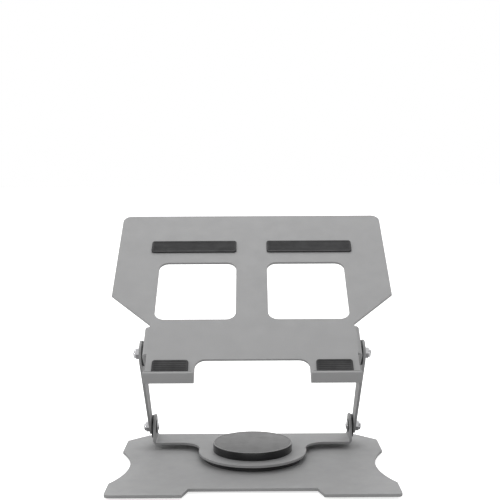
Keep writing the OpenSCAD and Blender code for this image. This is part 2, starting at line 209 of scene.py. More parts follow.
def blend_colours(tree, factor, first, second):
    """Mixes two colours; each is a socket or a colour."""
    node = tree.nodes.new("ShaderNodeMix")
    node.data_type = "RGBA"
    tree.links.new(factor, node.inputs["Factor"])
    for place, colour in ((6, first), (7, second)):
        if isinstance(colour, bpy.types.NodeSocket):
            tree.links.new(colour, node.inputs[place])
        else:
            node.inputs[place].default_value = (*colour, 1)
    return node.outputs[2]


# %% [markdown]
# ### Grain, mottle and lighter edges (wear and painted highlight)
# Powder coat flows out into shallow pits, moulded plastic copies the etched face of its mould, and
# rubber is matt with a fine tooth. All three are one effect at different sizes: a coarse noise with
# a fine one on top. Mottle is the slow drift in tone that no coating is free of. On an edge the
# coating is thinner and gets rubbed, so it is a little smoother there, and its colour is painted
# lighter: partly for that wear, partly as a painted highlight along the edge. A rounded-edge
# normal that turns away from the real one finds those places, which holds on any mesh.

# %% Build the shared effects
def build_grain():
    """A height: coarse pits with finer ones on top."""
    group, given, out = effect_group(
        "grain",
        [
            ("Position", "NodeSocketVector", None),
            ("Size", "NodeSocketFloat", 1.0),
            ("Fine Share", "NodeSocketFloat", 0.35),
        ],
        [("Height", "NodeSocketFloat")],
    )
    per_size = maths(group, "DIVIDE", 1 / MM, given.outputs["Size"])
    coarse = group.nodes.new("ShaderNodeTexNoise")
    coarse.inputs["Detail"].default_value = 2
    fine = group.nodes.new("ShaderNodeTexNoise")
    fine.inputs["Detail"].default_value = 1
    for noise in (coarse, fine):
        group.links.new(given.outputs["Position"], noise.inputs["Vector"])
    group.links.new(per_size, coarse.inputs["Scale"])
    group.links.new(maths(group, "MULTIPLY", per_size, 3.7), fine.inputs["Scale"])
    mix = group.nodes.new("ShaderNodeMix")
    group.links.new(given.outputs["Fine Share"], mix.inputs["Factor"])
    group.links.new(coarse.outputs["Fac"], mix.inputs["A"])
    group.links.new(fine.outputs["Fac"], mix.inputs["B"])
    group.links.new(mix.outputs["Result"], out.inputs["Height"])
    return group


def build_mottle():
    """A value that drifts between Low and High over patches of this size."""
    group, given, out = effect_group(
        "mottle",
        [
            ("Position", "NodeSocketVector", None),
            ("Size", "NodeSocketFloat", 30.0),
            ("Low", "NodeSocketFloat", 0.95),
            ("High", "NodeSocketFloat", 1.05),
        ],
        [("Value", "NodeSocketFloat")],
    )
    noise = group.nodes.new("ShaderNodeTexNoise")
    noise.inputs["Detail"].default_value = 4
    noise.inputs["Roughness"].default_value = 0.6
    spread = group.nodes.new("ShaderNodeMapRange")
    spread.inputs["From Min"].default_value = 0.3
    spread.inputs["From Max"].default_value = 0.7
    group.links.new(given.outputs["Position"], noise.inputs["Vector"])
    group.links.new(maths(group, "DIVIDE", 1 / MM, given.outputs["Size"]), noise.inputs["Scale"])
    group.links.new(noise.outputs["Fac"], spread.inputs["Value"])
    group.links.new(given.outputs["Low"], spread.inputs["To Min"])
    group.links.new(given.outputs["High"], spread.inputs["To Max"])
    group.links.new(spread.outputs["Result"], out.inputs["Value"])
    return group


def build_edge_wear_and_highlight():
    """A mask of the edges whose colour is painted lighter: partly rubbed coat, partly a painted highlight.
    """
    group, given, out = effect_group(
        "edge_wear_and_highlight",
        [
            ("Position", "NodeSocketVector", None),
            ("Width", "NodeSocketFloat", 0.6),
            ("Amount", "NodeSocketFloat", 0.5),
        ],
        [("Mask", "NodeSocketFloat")],
    )
    # The edges found here get a lighter colour: partly rubbed coat, partly a painted highlight.
    rounded = group.nodes.new("ShaderNodeBevel")
    rounded.samples = 4
    group.links.new(maths(group, "MULTIPLY", given.outputs["Width"], MM), rounded.inputs["Radius"])
    real = group.nodes.new("ShaderNodeNewGeometry")
    turn = group.nodes.new("ShaderNodeVectorMath")
    turn.operation = "DOT_PRODUCT"
    group.links.new(rounded.outputs["Normal"], turn.inputs[0])
    group.links.new(real.outputs["Normal"], turn.inputs[1])
    edge = group.nodes.new("ShaderNodeMapRange")
    edge.inputs["From Min"].default_value = 0.99
    edge.inputs["From Max"].default_value = 0.8
    group.links.new(turn.outputs["Value"], edge.inputs["Value"])
    patchy = group.nodes.new("ShaderNodeTexNoise")
    patchy.inputs["Scale"].default_value = 160
    patchy.inputs["Detail"].default_value = 5
    group.links.new(given.outputs["Position"], patchy.inputs["Vector"])
    wear_and_highlight_patches = group.nodes.new("ShaderNodeMapRange")
    wear_and_highlight_patches.inputs["From Min"].default_value = 0.35
    wear_and_highlight_patches.inputs["From Max"].default_value = 0.6
    group.links.new(patchy.outputs["Fac"], wear_and_highlight_patches.inputs["Value"])
    both = maths(group, "MULTIPLY", edge.outputs["Result"], wear_and_highlight_patches.outputs["Result"])
    group.links.new(maths(group, "MULTIPLY", both, given.outputs["Amount"]), out.inputs["Mask"])
    return group


GRAIN = build_grain()
MOTTLE = build_mottle()
EDGE_WEAR_AND_HIGHLIGHT = build_edge_wear_and_highlight()
print("shared effects:", GRAIN.name, MOTTLE.name, EDGE_WEAR_AND_HIGHLIGHT.name)


# %% [markdown]
# ## Finishes
# One function makes every finish, because they differ only in their numbers: colour, roughness, metal
# or not, the size and depth of the grain, how far the tone drifts and how light the edges are painted,
# partly for wear and partly as a painted highlight. The grey coat is matt with pits just under a
# millimetre wide. The hub is satin black, so it is dark face on and mirrors the room when it is seen
# at a low angle.

# %% Make the finishes
DRIFT_SIZE = 34.0
SPECKLE_SIZE = 0.45
SHEEN_SIZE = 13.0
SHEEN_SPREAD = 0.12
EDGE_WEAR_AND_HIGHLIGHT_WIDTH = 0.7
EDGE_WEAR_AND_HIGHLIGHT_AMOUNT = 0.55
WORN_POLISH = 0.12


def finish(name, colour, rough, metal=0.0, grain=(0.5, 0.02), drift=0.04, edge_wear_and_highlight_colour=None, speckle=0.0):
    """A Principled finish. grain is its size and depth in mm; the edge colour is painted lighter, for
    rubbed coat and as a painted highlight.
    """
    material = bpy.data.materials.new(name)
    material.use_nodes = True
    tree = material.node_tree
    shader = tree.nodes["Principled BSDF"]
    shader.inputs["Metallic"].default_value = metal
    place = tree.nodes.new("ShaderNodeTexCoord").outputs["Object"]

    def effect(group, **values):
        node = tree.nodes.new("ShaderNodeGroup")
        node.node_tree = group
        tree.links.new(place, node.inputs["Position"])
        for label, value in values.items():
            node.inputs[label.replace("_", " ")].default_value = value
        return node

    tone = effect(MOTTLE, Size=DRIFT_SIZE, Low=1 - drift, High=1 + drift).outputs["Value"]
    if speckle:
        dots = effect(MOTTLE, Size=SPECKLE_SIZE, Low=1 - speckle, High=1 + speckle).outputs["Value"]
        tone = maths(tree, "MULTIPLY", tone, dots)
    tinted = tree.nodes.new("ShaderNodeVectorMath")
    tinted.operation = "SCALE"
    tinted.inputs[0].default_value = colour
    tree.links.new(tone, tinted.inputs["Scale"])
    colour_out = tinted.outputs["Vector"]
    sheen = effect(MOTTLE, Size=SHEEN_SIZE, Low=rough * (1 - SHEEN_SPREAD), High=rough * (1 + SHEEN_SPREAD))
    rough_out = sheen.outputs["Value"]
    if edge_wear_and_highlight_colour:
        # Edges painted lighter here: partly rubbed coat, partly a painted highlight along the edge.
        mask = effect(EDGE_WEAR_AND_HIGHLIGHT, Width=EDGE_WEAR_AND_HIGHLIGHT_WIDTH, Amount=EDGE_WEAR_AND_HIGHLIGHT_AMOUNT).outputs["Mask"]
        colour_out = blend_colours(tree, mask, colour_out, edge_wear_and_highlight_colour)
        rough_out = maths(tree, "SUBTRACT", rough_out, maths(tree, "MULTIPLY", mask, WORN_POLISH))
    tree.links.new(colour_out, shader.inputs["Base Color"])
    tree.links.new(rough_out, shader.inputs["Roughness"])
    size, depth = grain
    bump = tree.nodes.new("ShaderNodeBump")
    bump.inputs["Strength"].default_value = 1.0
    bump.inputs["Distance"].default_value = depth * MM
    tree.links.new(effect(GRAIN, Size=size).outputs["Height"], bump.inputs["Height"])
    tree.links.new(bump.outputs["Normal"], shader.inputs["Normal"])
    return material


# The lighter edge colour (0.4) is partly rubbed coat and partly a painted highlight.
grey_coat = finish("grey_coat", (0.268, 0.268, 0.27), 0.56, grain=(0.8, 0.05), drift=0.015,
                   edge_wear_and_highlight_colour=(0.4, 0.4, 0.4), speckle=0.04)
hub_black = finish("hub_black", (0.006, 0.006, 0.0065), 0.22, grain=(0.5, 0.008), drift=0.1)
hub_face = finish("hub_face", (0.055, 0.055, 0.055), 0.42, grain=(0.35, 0.015), drift=0.06)
rubber = finish("rubber", (0.02, 0.02, 0.021), 0.72, grain=(0.3, 0.03), drift=0.15)
black_plastic = finish("black_plastic", (0.012, 0.012, 0.013), 0.46, grain=(0.4, 0.012), drift=0.1)
black_steel = finish("black_steel", (0.016, 0.016, 0.018), 0.4, grain=(0.6, 0.01), drift=0.1)
zinc = finish("zinc", (0.6, 0.6, 0.6), 0.34, metal=1.0, grain=(0.5, 0.006), drift=0.06)
ball_steel = finish("ball_steel", (0.72, 0.72, 0.73), 0.1, metal=1.0, grain=(1.5, 0.001))
chrome = finish("chrome", (0.56, 0.56, 0.57), 0.11, metal=1.0, grain=(0.8, 0.002), drift=0.05)
print("finishes:", len(bpy.data.materials))


# %% [markdown]
# ## Sheet metal
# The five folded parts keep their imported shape. Cut sheet has a small radius on every edge, and
# powder coat rounds it more, which is what catches the light along a fold. A bevel on the edges over
# 35 degrees gives that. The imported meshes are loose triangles, so the corners are welded and the flat
# areas joined first, or the bevel would find seams in the middle of a face.

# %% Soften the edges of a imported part
EDGE_RADIUS = 0.35 * MM


def soften(node, material, radius, segments=3):
    """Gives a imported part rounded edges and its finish; its mesh is left as it is."""
    thing = nodes[node]
    weld = thing.modifiers.new("weld", "WELD")
    weld.merge_threshold = 0.005 * MM
    flats = thing.modifiers.new("flats", "DECIMATE")
    flats.decimate_type = "DISSOLVE"
    flats.angle_limit = math.radians(0.5)
    edges = thing.modifiers.new("edges", "BEVEL")
    edges.width = radius
    edges.segments = segments
    edges.limit_method = "ANGLE"
    edges.angle_limit = math.radians(35)
    edges.use_clamp_overlap = False
    edges.harden_normals = True
    shade = thing.modifiers.new("shade", "WEIGHTED_NORMAL")
    shade.keep_sharp = True
    thing.data.materials.clear()
    thing.data.materials.append(material)


for node in ("base_plate", "swivel_bracket", "left_arm", "right_arm", "tray_plate"):
    soften(node, grey_coat, EDGE_RADIUS)
print("sheet metal done")

# %% [markdown]
# ## Bearing
# The races, the cage and the stud are inside the turntable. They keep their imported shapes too, with
# finer edges and the finish of each.

# %% Finish the bearing
FINE_EDGE_RADIUS = 0.15 * MM

for node, material in (
    ("lower_race", black_steel),
    ("upper_race", black_steel),
    ("ball_cage", black_plastic),
    ("swivel_stud", zinc),
    ("swivel_washer", zinc),
    ("swivel_nut", zinc),
):
    soften(node, material, FINE_EDGE_RADIUS, segments=2)
print("bearing done")

# %% [markdown]
# ## Turned parts
# Washers, nuts, bolt heads, feet and the hub are all turned or moulded round an axis. They could be
# primitives joined by booleans, but that leaves messy seams. It is cleaner to spin an outline. Each
# step of the outline is a distance along the axis and a radius, and a step may also have flats: then
# the radius stops at a hexagon, which gives a nut its faces and, with a cone across them, the curved
# chamfer that every real nut has.

# %% Spin an outline
def hexagon(flats, angle):
    """Distance from the middle of a hexagon to its side, at this angle."""
    sixth = math.pi / 3
    return flats / 2 / math.cos((angle + sixth / 2) % sixth - sixth / 2)


def eased(outline, radius, steps=4):
    """Rounds the corners of an outline of (z, r) points, apart from its two ends."""
    out = [outline[0]]
    for before, corner, after in zip(outline, outline[1:], outline[2:]):
        corner_v = Vector(corner)
        arms = [Vector(before) - corner_v, Vector(after) - corner_v]
        cut = min([radius] + [0.49 * arm.length for arm in arms])
        start, end = [corner_v + cut * arm.normalized() for arm in arms]
        for step in range(steps + 1):
            t = step / steps
            point = (1 - t) ** 2 * start + 2 * t * (1 - t) * corner_v + t * t * end
            out.append(tuple(point))
    out.append(outline[-1])
    return out


def spun(name, outline, closed=False, segments=72, wave=None):
    """A mesh turned about Z. A step is (z, r) or (z, r, flats), in mm; wave adds to each radius."""
    mesh = bmesh.new()
    rings = []
    for z, r, *flats in outline:
        if r == 0:
            rings.append([mesh.verts.new((0, 0, z * MM))])
            continue
        ring = []
        for count in range(segments):
            angle = 2 * math.pi * count / segments
            reach = min(r, hexagon(flats[0], angle)) if flats else r
            if wave:
                reach += wave(angle, z, r)
            x, y = reach * math.cos(angle), reach * math.sin(angle)
            ring.append(mesh.verts.new((x * MM, y * MM, z * MM)))
        rings.append(ring)
    pairs = list(zip(rings, rings[1:]))
    if closed:
        pairs.append((rings[-1], rings[0]))
    for lower, upper in pairs:
        for k in range(segments):
            corners = [lower[k % len(lower)], lower[(k + 1) % len(lower)],
                       upper[(k + 1) % len(upper)], upper[k % len(upper)]]
            face = list(dict.fromkeys(corners))
            if len(face) > 2:
                mesh.faces.new(face)
    return settled(name, mesh)


def settled(name, mesh, sharp=32):
    """Turns a bmesh into a mesh with outward faces, smooth but for the edges over the sharp angle."""
    bmesh.ops.recalc_face_normals(mesh, faces=mesh.faces)
    for face in mesh.faces:
        face.smooth = True
    for edge in mesh.edges:
        if edge.is_manifold and edge.calc_face_angle() > math.radians(sharp):
            edge.smooth = False
    out = bpy.data.meshes.new(name)
    mesh.to_mesh(out)
    mesh.free()
    return out


def add_piece(name, mesh, material, body, slot, *stands_for):
    """Links a finished mesh, and says what it rides on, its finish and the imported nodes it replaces."""
    thing = bpy.data.objects.new(name, mesh)
    scene.collection.objects.link(thing)
    if not mesh.materials:
        mesh.materials.append(material)
    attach(thing, body)
    if stands_for:
        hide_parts(*stands_for)


# %% [markdown]
# ### Hub cover
# The hub is a shallow black cap with a thin rim, and a disc pressed into its top almost level with the
# rim. The outline of the cap goes inside as well as outside, so it is hollow with a real wall.

# %% Make the hub
hub_low, hub_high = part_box("hub_cover")
inlay_low, inlay_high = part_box("hub_inlay")
HUB_WALL = 1.8
HUB_TOP = 1.2
DISC_GAP = 0.05
DISC_DROP = 0.06
hub_r = (hub_high.x - hub_low.x) / 2 / MM
inlay_r = (inlay_high.x - inlay_low.x) / 2 / MM
hub_z0, hub_z1 = hub_low.z / MM, hub_high.z / MM
seat_z = inlay_low.z / MM
seat_r = inlay_r + DISC_GAP
ceiling = seat_z - HUB_TOP

cap = eased([
    (ceiling, 0.01), (ceiling, hub_r - HUB_WALL), (hub_z0, hub_r - HUB_WALL), (hub_z0, hub_r),
    (hub_z1, hub_r), (hub_z1, seat_r), (seat_z, seat_r), (seat_z, 0.01),
], 0.3)
cap[0] = (ceiling, 0)
cap[-1] = (seat_z, 0)
add_piece("hub_cap", spun("hub_cap", cap, segments=160), hub_black, "turntable", "hub_black",
          "hub_cover")
disc_z1 = hub_z1 - DISC_DROP
disc = eased([(seat_z, 0.01), (seat_z, inlay_r), (disc_z1, inlay_r), (disc_z1, 0.01)], 0.15)
disc[0] = (seat_z, 0)
disc[-1] = (disc_z1, 0)
add_piece("hub_disc", spun("hub_disc", disc, segments=160), hub_face, "turntable", "hub_face",
          "hub_inlay")
print("hub", round(2 * hub_r, 1), "mm across,", round(hub_z1 - hub_z0, 1), "mm high")

# %% [markdown]
# ### Dust ring
# A black ring closes the gap between base and bracket. It has a small groove half way up, so that
# it reads as a moulded part and not as a shadow.

# %% Make the dust ring
ring_low, ring_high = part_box("dust_ring")
ring_r = (ring_high.x - ring_low.x) / 2 / MM
ring_z0, ring_z1 = ring_low.z / MM, ring_high.z / MM
RING_WALL = 2.0
GROOVE = 0.35
GROOVE_HALF = 0.5
ring_mid = (ring_z0 + ring_z1) / 2
ring_outline = eased([
    (ring_mid, ring_r - RING_WALL), (ring_z0, ring_r - RING_WALL), (ring_z0, ring_r),
    (ring_mid - GROOVE_HALF, ring_r), (ring_mid - GROOVE_HALF / 2, ring_r - GROOVE),
    (ring_mid + GROOVE_HALF / 2, ring_r - GROOVE), (ring_mid + GROOVE_HALF, ring_r),
    (ring_z1, ring_r), (ring_z1, ring_r - RING_WALL), (ring_mid + 0.1, ring_r - RING_WALL),
], 0.3, steps=3)
add_piece("turntable_dust_ring", spun("turntable_dust_ring", ring_outline, closed=True, segments=180),
          black_plastic, "base", "black_plastic", "dust_ring")
print("dust ring", round(2 * ring_r, 1), "mm across")

# %% [markdown]
# ### Feet
# Each foot is a rubber disc with a chamfer and three grooves that grip the desk. The one in the
# middle also covers the flange of the swivel stud, so it has a pocket in its top.

# %% Make the feet
FOOT_HOLLOW = 0.25
FOOT_GROOVE = 0.45
FOOT_CHAMFER = 0.7
GROOVE_SHARES = (0.42, 0.6, 0.78)


def foot_outline(radius, height, pocket_r=0.0, pocket_z=0.0):
    """From the middle of the underside, out over the grooves, up the side and back to the middle."""
    line = [(FOOT_HOLLOW, 0.0), (FOOT_HOLLOW, radius * 0.3)]
    for share in GROOVE_SHARES:
        edge = radius * share
        line += [(0, edge - 1.0), (0, edge), (FOOT_GROOVE, edge + 0.25), (FOOT_GROOVE, edge + 0.55)]
    line += [(0, radius * GROOVE_SHARES[-1] + 0.8), (0, radius - FOOT_CHAMFER)]
    line += [(FOOT_CHAMFER, radius), (height, radius)]
    if pocket_r:
        return line + [(height, pocket_r), (pocket_z, pocket_r), (pocket_z, 0)]
    return line + [(height, 0)]


for corner in ("front_left", "front_right", "rear_left", "rear_right"):
    low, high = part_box("foot_" + corner)
    radius = (high.x - low.x) / 2 / MM
    mesh = spun("rubber_foot_" + corner, foot_outline(radius, high.z / MM), segments=60)
    mesh.transform(Matrix.Translation(((low.x + high.x) / 2, (low.y + high.y) / 2, 0)))
    add_piece("rubber_foot_" + corner, mesh, rubber, "base", "rubber", "foot_" + corner)

low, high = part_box("centre_foot")
stud_low, stud_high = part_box("swivel_stud")
radius = (high.x - low.x) / 2 / MM
stud_r = (stud_high.x - stud_low.x) / 2 / MM
mesh = spun("rubber_foot_centre",
            foot_outline(radius, high.z / MM, stud_r + 0.05, stud_low.z / MM), segments=90)
add_piece("rubber_foot_centre", mesh, rubber, "base", "rubber", "centre_foot")
print("feet", round(high.z / MM, 1), "mm high")

# %% [markdown]
# ## Trees that repeat a part
# The hinges use the same bolt, washers and nut on both sides, and the bearing has its balls and
# screws on a circle. Copying objects would do it, but a Geometry Nodes tree says the rule itself:
# one tree sets a part on both sides of the stand, the other sets copies round the swivel axis. Each
# has its sizes as named inputs. The result becomes a plain mesh before anything else is done to it.

# %% Start a tree and run a tree
def growth_tree(name, inputs):
    """A Geometry Nodes tree with a geometry going through it and the named inputs."""
    tree = bpy.data.node_groups.new(name, "GeometryNodeTree")
    tree.interface.new_socket("Geometry", in_out="INPUT", socket_type="NodeSocketGeometry")
    for label, kind in inputs:
        tree.interface.new_socket(label, in_out="INPUT", socket_type=kind)
    tree.interface.new_socket("Geometry", in_out="OUTPUT", socket_type="NodeSocketGeometry")
    return tree, tree.nodes.new("NodeGroupInput"), tree.nodes.new("NodeGroupOutput")


def end_tree(tree, given, out, points, turn):
    """Instances the incoming part on the points, makes it real and gives it its material."""
    copies = tree.nodes.new("GeometryNodeInstanceOnPoints")
    real = tree.nodes.new("GeometryNodeRealizeInstances")
    painted = tree.nodes.new("GeometryNodeSetMaterial")
    tree.links.new(points, copies.inputs["Points"])
    tree.links.new(given.outputs["Geometry"], copies.inputs["Instance"])
    tree.links.new(turn, copies.inputs["Rotation"])
    tree.links.new(copies.outputs["Instances"], real.inputs["Geometry"])
    tree.links.new(real.outputs["Geometry"], painted.inputs["Geometry"])
    tree.links.new(given.outputs["Material"], painted.inputs["Material"])
    tree.links.new(painted.outputs["Geometry"], out.inputs["Geometry"])
    return tree


def turn_about(tree, axis, angle):
    """A rotation about one axis, from an angle socket."""
    euler = tree.nodes.new("ShaderNodeCombineXYZ")
    rotation = tree.nodes.new("FunctionNodeEulerToRotation")
    tree.links.new(angle, euler.inputs[axis])
    tree.links.new(euler.outputs["Vector"], rotation.inputs["Euler"])
    return rotation.outputs["Rotation"]


def grow(name, mesh, tree, values):
    """Runs a tree on a mesh and returns the result as a plain mesh."""
    thing = bpy.data.objects.new(name, mesh)
    scene.collection.objects.link(thing)
    modifier = thing.modifiers.new("grow", "NODES")
    modifier.node_group = tree
    for socket in tree.interface.items_tree:
        if socket.in_out == "INPUT" and socket.name in values:
            modifier[socket.identifier] = values[socket.name]
    view = bpy.context.evaluated_depsgraph_get()
    result = bpy.data.meshes.new_from_object(thing.evaluated_get(view), depsgraph=view)
    result.name = name
    thing.modifiers.remove(modifier)
    bpy.data.objects.remove(thing)
    return result


# %% Build the two trees
def build_both_sides():
    """One copy at -Reach and one at +Reach, each with its +Z turned outwards."""
    tree, given, out = growth_tree("on both sides", [
        ("Reach", "NodeSocketFloat"), ("Hinge Y", "NodeSocketFloat"), ("Hinge Z", "NodeSocketFloat"),
        ("Material", "NodeSocketMaterial"),
    ])
    line = tree.nodes.new("GeometryNodeMeshLine")
    line.count_mode = "TOTAL"
    line.mode = "END_POINTS"
    line.inputs["Count"].default_value = 2
    for label, side in (("Start Location", -1), ("Offset", 1)):
        spot = tree.nodes.new("ShaderNodeCombineXYZ")
        tree.links.new(maths(tree, "MULTIPLY", given.outputs["Reach"], side), spot.inputs["X"])
        tree.links.new(given.outputs["Hinge Y"], spot.inputs["Y"])
        tree.links.new(given.outputs["Hinge Z"], spot.inputs["Z"])
        tree.links.new(spot.outputs["Vector"], line.inputs[label])
    index = tree.nodes.new("GeometryNodeInputIndex").outputs["Index"]
    angle = maths(tree, "MULTIPLY", maths(tree, "SUBTRACT", index, 0.5), math.pi)
    return end_tree(tree, given, out, line.outputs["Mesh"], turn_about(tree, "Y", angle))


def build_round_the_axis():
    """Count copies on a circle round the swivel axis."""
    tree, given, out = growth_tree("round the axis", [
        ("Count", "NodeSocketInt"), ("Radius", "NodeSocketFloat"), ("First Angle", "NodeSocketFloat"),
        ("Height", "NodeSocketFloat"), ("Material", "NodeSocketMaterial"),
    ])
    circle = tree.nodes.new("GeometryNodeMeshCircle")
    tree.links.new(given.outputs["Count"], circle.inputs["Vertices"])
    tree.links.new(given.outputs["Radius"], circle.inputs["Radius"])
    turned = tree.nodes.new("GeometryNodeTransform")
    lift = tree.nodes.new("ShaderNodeCombineXYZ")
    tree.links.new(given.outputs["Height"], lift.inputs["Z"])
    tree.links.new(circle.outputs["Mesh"], turned.inputs["Geometry"])
    tree.links.new(lift.outputs["Vector"], turned.inputs["Translation"])
    tree.links.new(turn_about(tree, "Z", given.outputs["First Angle"]), turned.inputs["Rotation"])
    index = tree.nodes.new("GeometryNodeInputIndex").outputs["Index"]
    step = maths(tree, "DIVIDE", 2 * math.pi, given.outputs["Count"])
    angle = maths(tree, "ADD", maths(tree, "MULTIPLY", index, step), given.outputs["First Angle"])
    return end_tree(tree, given, out, turned.outputs["Geometry"], turn_about(tree, "Z", angle))


BOTH_SIDES = build_both_sides()
ROUND_THE_AXIS = build_round_the_axis()
print("trees:", BOTH_SIDES.name, "and", ROUND_THE_AXIS.name)


# %% [markdown]
# ## Hinge hardware
# At each pivot a bolt goes out through the ear, a friction washer, the arm and a lock nut. The head
# is domed with a hexagon socket. The nut has flats with a chamfer at both ends, and a rounded
# collar that holds a nylon ring. The end of the bolt has a real thread. All are drawn standing on
# the desk with their axis upright, at zero height, and the tree lays them on the hinge.

# %% Draw the hinge parts
BOLT_R = 3.0
NUT_FLATS = 10.0
NUT_CHAMFER = 0.8
SOCKET_FLATS = 4.0
SOCKET_DEPTH = 1.7
THREAD_PITCH = 1.0
THREAD_DEPTH = 0.45
THREAD_LENGTH = 7.0
THREAD_STEPS = 56
NUT_HEX_H = 4.0
COLLAR_R = 4.5
INSERT_R = COLLAR_R - 1.3


def nut_outline(total_h):
    """Up the outside of the nut over its flats and its collar, and back down the bore."""
    corner = NUT_FLATS / math.cos(math.pi / 6) / 2
    face_r = NUT_FLATS / 2 * 0.95
    bore = BOLT_R + 0.05
    line = [(0, bore), (0, face_r)]
    for step in range(1, 6):
        share = step / 5
        line.append((NUT_CHAMFER * share * 0.75, face_r + (corner - face_r) * share, NUT_FLATS))
    for step in range(5, 0, -1):
        share = step / 5
        line.append((NUT_HEX_H - NUT_CHAMFER * share * 0.75, face_r + (corner - face_r) * share, NUT_FLATS))
    line += [(NUT_HEX_H, COLLAR_R + 0.15), (NUT_HEX_H + 0.15, COLLAR_R)]
    for step in range(6):
        turn = step / 5 * math.pi / 2
        line.append((total_h - 1.0 + math.sin(turn), COLLAR_R - 1.1 * (1 - math.cos(turn))))
    pocket_r = COLLAR_R - 1.25
    return line + [(total_h - 0.1, pocket_r), (total_h - 0.8, pocket_r), (total_h - 0.8, bore)]


def insert_outline(total_h):
    """The nylon ring in the pocket of the nut."""
    bore = BOLT_R + 0.02
    return eased([(total_h - 0.5, bore), (total_h - 0.8, bore), (total_h - 0.8, INSERT_R),
                  (total_h - 0.15, INSERT_R), (total_h - 0.15, bore), (total_h - 0.4, bore)], 0.1, steps=2)


def head_outline(head_r, head_h):
    """The dome of the head, downwards from z = 0, with its socket."""
    dome_r = (head_r ** 2 + head_h ** 2) / (2 * head_h)
    half_socket = SOCKET_FLATS / 2 / math.cos(math.pi / 6)

    def dome_z(r):
        return -head_h + dome_r - math.sqrt(dome_r ** 2 - r ** 2)

    top = dome_z(half_socket + 0.2)
    line = [(top + SOCKET_DEPTH + 0.5, 0), (top + SOCKET_DEPTH, half_socket, SOCKET_FLATS),
            (top + 0.2, half_socket, SOCKET_FLATS), (top, half_socket + 0.2)]
    for step in range(1, 9):
        r = half_socket + 0.2 + (head_r - half_socket - 0.2) * step / 8
        line.append((min(dome_z(r), -0.25), r))
    return line + [(-0.05, head_r), (0, head_r - 0.1)]


def thread(angle, z, start):
    """How far the thread cuts in at this place; it has run in over the first turn."""
    turns = z / THREAD_PITCH - angle / (2 * math.pi)
    flank = abs(turns % 1 - 0.5) * 2
    return -THREAD_DEPTH * flank * min(1, max(0, (z - start) / THREAD_PITCH))


def bolt_mesh(name, head_r, head_h, length):
    """A bolt with its head below z = 0 and its shank above."""
    thread_start = length - THREAD_LENGTH
    run = length - 0.5 - thread_start
    line = head_outline(head_r, head_h) + [(0, BOLT_R)]
    line += [(thread_start + run * k / THREAD_STEPS, BOLT_R) for k in range(THREAD_STEPS + 1)]
    line += [(length, BOLT_R - 0.6), (length, 0)]

    def cut(angle, z, r):
        return thread(angle, z, thread_start) if z > thread_start and r == BOLT_R else 0.0

    return spun(name, line, segments=48, wave=cut)


def washer_mesh(name, radius, thickness, edge):
    """A flat ring with rounded edges."""
    bore = BOLT_R + 0.05
    outline = eased([(thickness / 2, bore), (0, bore), (0, radius), (thickness, radius),
                     (thickness, bore), (thickness * 0.6, bore)], edge, steps=3)
    return spun(name, outline, closed=True, segments=72)


# %% Set the hinge parts on both hinges
def across(low, high, axis):
    """Size of a box along an axis, in mm."""
    return (high[axis] - low[axis]) / MM


def hinge(level, body):
    """All hardware of one hinge axis, left and right."""
    boxes = {part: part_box(f"{level}_{part}_right")
             for part in ("bolt", "thin_washer", "friction_washer", "nut")}
    washer_low, washer_high = boxes["friction_washer"]
    place = {"Hinge Y": (washer_low.y + washer_high.y) / 2, "Hinge Z": (washer_low.z + washer_high.z) / 2}

    def lay(part, mesh, material, slot, start, replaced=True):
        """Sets a part on both sides, starting at this distance from the middle."""
        name = f"{level}_hinge_{part}s"
        values = dict(place, Reach=start, Material=material)
        stands_for = [f"{level}_{part}_left", f"{level}_{part}_right"] if replaced else []
        add_piece(name, grow(name, mesh, BOTH_SIDES, values), material, body, slot, *stands_for)

    bolt_low, bolt_high = boxes["bolt"]
    thin_low, thin_high = boxes["thin_washer"]
    head_h = (thin_low.x - bolt_low.x) / MM
    lay("bolt", bolt_mesh("bolt", across(bolt_low, bolt_high, 2) / 2, head_h,
                          (bolt_high.x - thin_low.x) / MM), chrome, "chrome", thin_low.x)
    lay("thin_washer", washer_mesh("thin_washer", across(thin_low, thin_high, 2) / 2,
                                   across(thin_low, thin_high, 0), 0.15),
        black_plastic, "black_plastic", thin_low.x)
    lay("friction_washer", washer_mesh("friction_washer", across(washer_low, washer_high, 2) / 2,
                                       across(washer_low, washer_high, 0), 0.4),
        black_plastic, "black_plastic", washer_low.x)
    nut_low, nut_high = boxes["nut"]
    nut_h = across(nut_low, nut_high, 0)
    lay("nut", spun("nut", nut_outline(nut_h), closed=True), chrome, "chrome", nut_low.x)
    lay("nut_insert", spun("nut_insert", insert_outline(nut_h), closed=True), black_plastic,
        "black_plastic", nut_low.x, replaced=False)
    print(level, "hinge at", [round(v / MM, 1) for v in place.values()])


hinge("lower", "turntable")
hinge("upper", "upper_pivots")

# %% [markdown]
# ## Balls, rivets and screws
# The bearing balls run in their cage on one circle, and four rivets and four screws hold the races.
# The second tree sets each round the swivel axis.

# %% Set copies round the swivel axis
BALL_COUNT = 24
BALL_STEPS = 12
PIN_COUNT = 4
PIN_HEAD_R = 3.0
PIN_HEAD_H = 1.2
PIN_R = 1.5

balls_low, balls_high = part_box("bearing_balls")
ball_r = (balls_high.z - balls_low.z) / 2
ball_circle_r = (balls_high.x - balls_low.x) / 2 - ball_r
ball_turns = [math.pi * k / BALL_STEPS for k in range(BALL_STEPS + 1)]
ball_line = [(-ball_r / MM * math.cos(turn), ball_r / MM * math.sin(turn)) for turn in ball_turns]
ball_line[0] = (ball_line[0][0], 0)
ball_line[-1] = (ball_line[-1][0], 0)
balls = grow("steel_balls", spun("ball", ball_line, segments=24), ROUND_THE_AXIS, {
    "Count": BALL_COUNT, "Radius": ball_circle_r, "First Angle": 0.0,
    "Height": (balls_low.z + balls_high.z) / 2, "Material": ball_steel,
})
add_piece("steel_balls", balls, ball_steel, "cage", "ball_steel", "bearing_balls")


